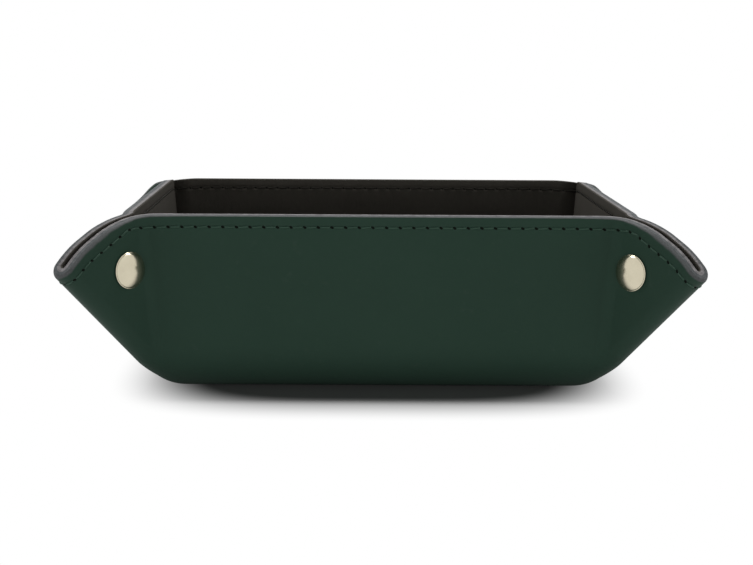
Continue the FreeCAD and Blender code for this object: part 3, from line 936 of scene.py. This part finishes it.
def holeShadeLenses(centres, inside):
    # slanting elliptic lenses in the mouths of the needle holes, whose rings lie in the groove; they carry
    # the painted shade of the holes
    around = hole["sides"]
    size = hole["innerSize"] if inside else 1.0
    point, normal, way, across = alongTrip(centres, inside)
    angle = roundAngles(around)
    longWay = hole["length"] * size * np.cos(angle)
    shortWay = hole["width"] * size * np.sin(angle)
    tilt = math.radians(hole["slant"])
    forth = longWay * math.cos(tilt) + shortWay * math.sin(tilt)
    aside = shortWay * math.cos(tilt) - longWay * math.sin(tilt)
    lift = seamLine["groove"] - seamGroove(seamLine["inset"] + aside) + hole["rim"]
    ring = point[:, None] + way[:, None] * forth[:, None] + across[:, None] * aside[:, None]
    ring = ring + normal[:, None] * lift[:, None]
    crown = (point + normal * hole["crown"])[:, None]
    bottom = (point - normal * hole["depth"])[:, None]
    lens = np.concatenate([ring, crown, bottom], 1)
    index = np.arange(around)
    after = np.roll(index, -1)
    upper = np.stack([index, after, np.full(around, around)], -1)
    lower = np.stack([after, index, np.full(around, around + 1)], -1)
    first = (np.arange(len(centres)) * (around + 2))[:, None, None]
    return lens.reshape(-1, 3), (np.concatenate([upper, lower]) + first).reshape(-1, 3)


def panelOf(where):
    spot = np.searchsorted(tripLength, np.mod(where, tripLength[-1]), side="right") - 1
    return tripNames[np.clip(spot, 0, len(tripNames) - 1)]


stitchCentres = (np.arange(stitchCount) + 0.5) * stitchPitch
holeCentres = np.arange(stitchCount) * stitchPitch
stitchPanels, holePanels = panelOf(stitchCentres), panelOf(holeCentres)
# the hole lenses take the near-black painted shade of the needle holes
seamFinishes = [threadFinish, holeShadeFinish, innerThread]
threadSlot, holeShadeSlot, innerSlot = range(3)
for panel in sorted(set(stitchPanels)):
    # on a fold the two faces of the sheet turn by different amounts, so each has its own piece
    folded = panel.endswith("_fold")
    sets = {"leather": [False], "lining": [True]} if folded else {"leather": [False, True]}
    for layer, faces in sets.items():
        parts, wraps, groups, marks, count = [], [], [], [], 0
        for inside in faces:
            tubes, wrap, sides, ends = stitchTubes(stitchCentres[stitchPanels == panel], inside)
            lenses, mouths = holeShadeLenses(holeCentres[holePanels == panel], inside)
            parts += [tubes, lenses]
            wraps += [wrap, np.zeros((len(lenses), 2))]
            groups += [sides + count, ends + count, mouths + count + len(tubes)]
            marks.append(np.full(len(sides) + len(ends), innerSlot if inside else threadSlot))
            marks.append(np.full(len(mouths), holeShadeSlot))
            count += len(tubes) + len(lenses)
        name = panel + ("_seam" if layer == "leather" else "_inner_seam")
        thread = makeObject(name, np.concatenate(parts), groups, seamFinishes,
                            np.concatenate(marks), np.concatenate(wraps))
        rideLike(thread, panel)
print("seam made")

# Snap fasteners: turned caps and studs; the other pieces keep their solids
capShape = {"rollBack": 0.25, "rollIn": 0.02, "rollRadius": 0.27, "roll": (0.25, 1.5), "rollRings": 9,
            "domeStart": 0.04, "domePower": 1.3, "domeRings": 26, "underside": 0.5, "bore": 0.6}
turnedSides = 72
studSharpAngle = 30.0
# Stud seen from the lining, as (radius, height): chamfered head, neck, flange a little proud of the lining
studProfile = np.array([[0.3, 1.8], [1.8, 1.8], [2.1, 1.5], [2.1, 1.1], [1.75, 0.8], [1.75, 0.32], [2.0, 0.2],
                        [4.4, 0.16], [4.6, 0.02], [4.6, -0.5], [0.5, -0.5]])


def capProfile():
    # dome: r = R sin(a), h = rim + crown cos(a)^power; then a rolled rim, and a flat underside
    inner = snap["radius"] - capShape["rollBack"]
    dome = np.linspace(capShape["domeStart"], 1, capShape["domeRings"]) * math.pi / 2
    domeRise = snap["rim"] + snap["crown"] * np.cos(dome) ** capShape["domePower"]
    domeLine = np.stack([inner * np.sin(dome), domeRise], -1)
    roll = np.linspace(*capShape["roll"], capShape["rollRings"]) * math.pi / 2
    rollOut = inner - capShape["rollIn"] + capShape["rollRadius"] * np.sin(roll)
    rollLine = np.stack([rollOut, snap["rim"] * (0.5 + 0.5 * np.cos(roll))], -1)
    underside = np.array([[inner - capShape["underside"], 0.0], [capShape["bore"], 0.0]])
    return np.concatenate([domeLine, rollLine, underside])


def turnedPiece(name, profile, centre, way):
    # a profile of radius and height, turned round an axis
    angle = roundAngles(turnedSides)
    side = unit(np.cross(way, [0, 0, 1.0]))
    lift = np.cross(side, way)
    ring = side * np.cos(angle)[:, None] + lift * np.sin(angle)[:, None]
    points = centre + profile[:, None, :1] * ring + way * profile[:, None, 1:]
    index = np.arange(len(profile) * turnedSides).reshape(-1, turnedSides)
    after = np.roll(index, -1, axis=1)
    quads = np.stack([index[:-1], index[1:], after[1:], after[:-1]], -1).reshape(-1, 4)
    lids = np.stack([index[0], index[-1][::-1]])
    return makeObject(name, points.reshape(-1, 3), [quads, lids], [nickel])


snapSpot = np.array([-snap["along"] / rootTwo, -snap["along"] / rootTwo, snap["rise"]])
for label, (*signs, _) in corners.items():
    centre = place(snapSpot + outFlap * foldRadius, signs, False)
    cap = turnedPiece(label + "_cap_dome", capProfile(), centre, placeWay(outFlap, signs, False))
    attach(cap, label + "_end_flap")
    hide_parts(label + "_cap")
    centre = place(snapSpot + outFlap * traySheet["halfGap"], signs, True)
    stud = turnedPiece(label + "_stud_turned", studProfile, centre, placeWay(-outFlap, signs, True))
    stud.data.set_sharp_from_angle(angle=math.radians(studSharpAngle))
    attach(stud, label + "_side_flap")
    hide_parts(label + "_stud")
for name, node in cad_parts.items():
    if name.endswith(("_socket", "_eyelet", "_spring")):
        node.data.materials.clear()
        node.data.materials.append(wire if name.endswith("_spring") else nickel)
print("snaps made")

# Floor, in metres: how far its shadow-keeping paper reaches to the camera and in the tray's sheen, and where
# it fades; round the tray the camera sees the paper darker than the light does, a painted shade
paper = {
    "tones": (rgb(0.46, 0.46, 0.46), rgb(0.49, 0.49, 0.49)),
    # darker paper seen only by the camera: painted shade round the tray that deepens its shadow
    "shade": rgb(0.25, 0.25, 0.25),
    "grain": (900.0, 2.0),
    "seenReach": (0.070, 0.100),
    "mirrorReach": (0.098, 0.075),
    "fade": (0.918, 1.374),
    "radius": 6.0,
    "sides": 96,
}


def paleFloor():
    # paper that runs out to plain white: away = ((x / reachX)^4 + (y / reachY)^4)^(1/4)
    finish = Finish("pale_floor", Specular_IOR_Level=0.0, Roughness=1.0)
    spot = finish.node("ShaderNodeTexCoord", output="Object")
    apartX = finish.node("ShaderNodeSeparateXYZ", {}, {0: spot}, 0)
    apartY = finish.node("ShaderNodeSeparateXYZ", {}, {0: spot}, 1)
    seen = finish.node("ShaderNodeLightPath", output="Is Camera Ray")
    glossy = finish.node("ShaderNodeLightPath", output="Is Glossy Ray")
    (seenX, seenY), (mirrorX, mirrorY) = paper["seenReach"], paper["mirrorReach"]
    reachX = seenX + (mirrorX - seenX) * glossy
    reachY = seenY + (mirrorY - seenY) * glossy
    away = ((apartX / reachX) ** 4 + (apartY / reachY) ** 4) ** 0.25
    tone = finish.mix(finish.noise(*paper["grain"]), *paper["tones"])
    # painted shade: to the camera the paper near the tray is darker than the light sees it, which deepens the
    # tray's shadow
    finish.paint(Base_Color=finish.mix(seen, tone, paper["shade"]))
    share = finish.ramp(away, paper["fade"], "SMOOTHSTEP")
    white = finish.node("ShaderNodeEmission", {}, {"Color": rgb(1, 1, 1), "Strength": 1.0})
    direct = finish.node("ShaderNodeMath", {"operation": "MAXIMUM"}, {0: seen, 1: glossy})
    sheet = Wire(finish, finish.skin.outputs[0])
    shown = finish.node("ShaderNodeMixShader", {}, {0: share * direct, 1: sheet, 2: white})
    finish.tree.links.new(shown.socket, finish.output.inputs[0])
    return finish.material


floorAngle = roundAngles(paper["sides"])
floorDisc = np.stack([np.cos(floorAngle), np.sin(floorAngle), np.zeros(paper["sides"])], -1)
floorDisc = floorDisc * paper["radius"] / milli
floor = makeObject("floor", floorDisc, np.arange(paper["sides"])[None], [paleFloor()])

# World: white to the camera and in reflections, and only a faint fill as light
worldLevels = {"To Min": 0.015, "To Max": 1.0}
world = bpy.data.worlds.new("studio")
bpy.context.scene.world = world
world.use_nodes = True
tree = world.node_tree
back = tree.nodes["Background"]
back.inputs["Color"].default_value = rgb(1, 1, 1)
path = tree.nodes.new("ShaderNodeLightPath")
seenOrGloss = tree.nodes.new("ShaderNodeMath")
seenOrGloss.operation = "MAXIMUM"
for socket, ray in zip(seenOrGloss.inputs, ("Is Camera Ray", "Is Glossy Ray")):
    tree.links.new(path.outputs[ray], socket)
level = tree.nodes.new("ShaderNodeMapRange")
tree.links.new(seenOrGloss.outputs[0], level.inputs["Value"])
for limit, value in worldLevels.items():
    level.inputs[limit].default_value = value
tree.links.new(level.outputs[0], back.inputs["Strength"])

# Light, in metres and watts; only the top box shows in reflections
overTray = {"spot": (0, 0.13, 0.95), "aim": (0, 0, 0), "size": (0.7, 0.14), "power": 10.0, "mirrored": True}
boxes = {
    "top_box": overTray,
    "left_box": {"spot": (-1.2, -0.6, 0.09), "aim": (0, 0, 0.03), "size": (0.8, 0.17), "power": 4.0},
    "right_box": {"spot": (1.2, -0.6, 0.09), "aim": (0, 0, 0.03), "size": (0.8, 0.17), "power": 4.0},
    "front_box": {"spot": (0, -1.3, 0.13), "aim": (0, 0, 0.03), "size": (1.6, 0.25), "power": 3.8},
}


def standing(side, lift, away, spot):
    # placement from three axes and a spot
    return Matrix([[side[i], lift[i], away[i], spot[i]] for i in range(3)] + [[0, 0, 0, 1]])


def softBox(name, spot, aim, size, power, mirrored=False):
    lamp = bpy.data.lights.new(name, "AREA")
    lamp.shape = "RECTANGLE"
    lamp.size, lamp.size_y = size
    lamp.energy = power
    box = bpy.data.objects.new(name, lamp)
    bpy.context.scene.collection.objects.link(box)
    away = unit(np.array(spot, float) - np.array(aim, float))
    fromAbove = abs(away[2]) > 0.9
    side = unit(np.cross([0, 1, 0] if fromAbove else [0, 0, 1], away))
    box.matrix_world = standing(side, np.cross(away, side), away, spot)
    box.visible_glossy = mirrored


for name, box in boxes.items():
    softBox(name, **box)

# Camera: millimetres, degrees, and its focal length in pixels of the picture's width
view = {
    "spot": (-9.8, -781.9, 122.6),
    "yaw": -0.695,
    "pitch": 6.9,
    "roll": 0.38,
    "focal": 2066.6,
    "width": 753,
    "sensor": 36.0,
    "nearest": 10.0,
}
yaw, pitch, roll = (math.radians(view[turn]) for turn in ("yaw", "pitch", "roll"))
sideways = np.array([math.cos(yaw), math.sin(yaw), 0])
forward = np.array([-math.sin(yaw), math.cos(yaw), 0])
ahead = forward * math.cos(pitch) - np.array([0, 0, math.sin(pitch)])
overhead = forward * math.sin(pitch) + np.array([0, 0, math.cos(pitch)])
right = sideways * math.cos(roll) + overhead * math.sin(roll)
upward = overhead * math.cos(roll) - sideways * math.sin(roll)
lens = bpy.data.cameras.new("camera")
lens.sensor_width = view["sensor"]
lens.lens = view["focal"] * view["sensor"] / view["width"]
lens.clip_start = view["nearest"] * milli
camera = bpy.data.objects.new("camera", lens)
bpy.context.scene.collection.objects.link(camera)
camera.matrix_world = standing(right, upward, -ahead, np.array(view["spot"]) * milli)
bpy.context.scene.camera = camera
bpy.context.scene.view_settings.view_transform = "Standard"
print("studio set")
